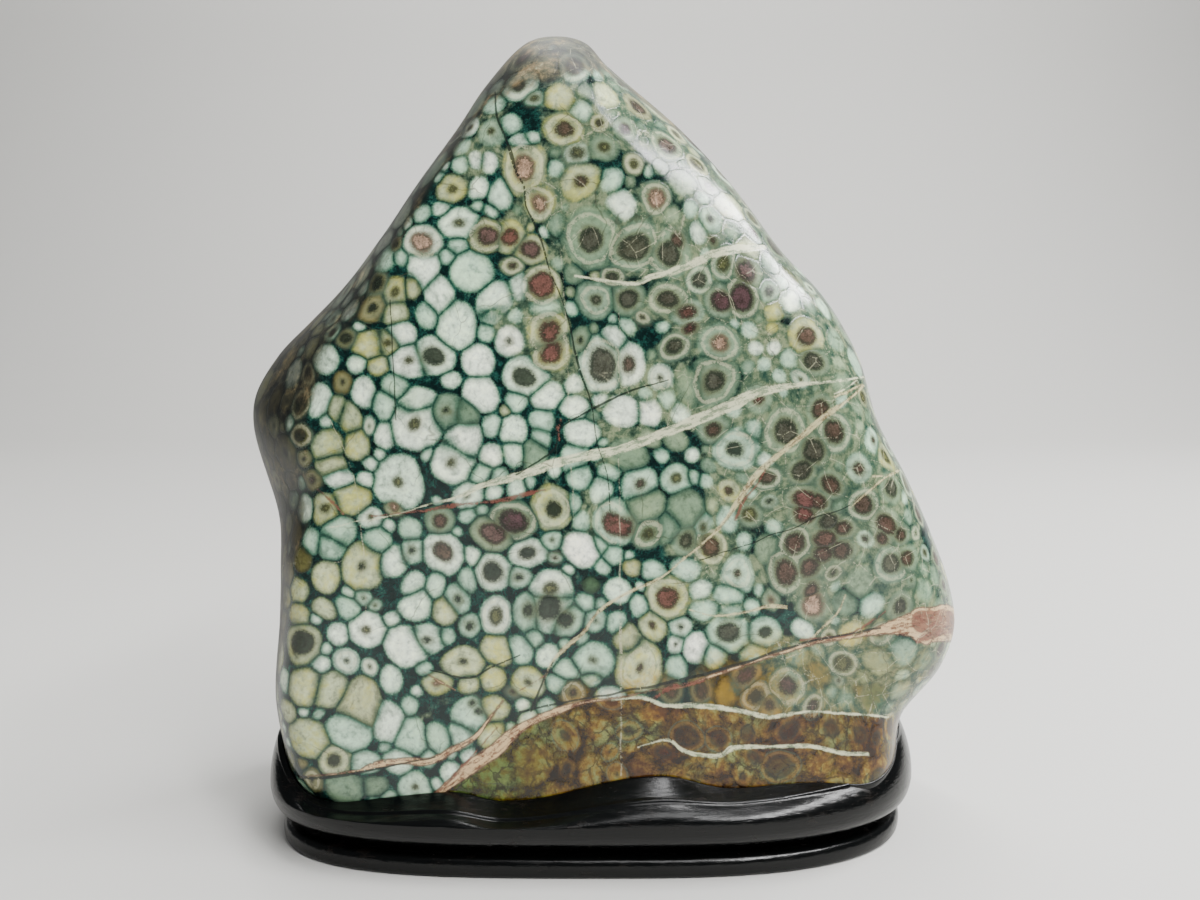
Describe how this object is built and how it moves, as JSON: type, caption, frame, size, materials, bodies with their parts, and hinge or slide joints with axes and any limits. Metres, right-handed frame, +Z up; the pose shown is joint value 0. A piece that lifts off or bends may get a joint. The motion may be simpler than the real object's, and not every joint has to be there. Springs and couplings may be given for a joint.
{
  "type": "chrysanthemum stone on a fitted stand",
  "caption": "Tall pointed slab of polished orbicular stone with pale round cells, standing in a low black-lacquered wooden stand carved to fit it.",
  "frame": {"origin": "on the surface that the stand rests on, under the middle of the whole object's box", "axes": "+Z up, the polished front face looks along -Y, +X to the viewer's right"},
  "size_m": [0.202, 0.1006, 0.218],
  "materials": {
    "stone": "polished",
    "lacquer": "gloss"
  },
  "bodies": {
    "root": {"stone": "stone", "stand": "lacquer"}
  },
  "joints": []
}
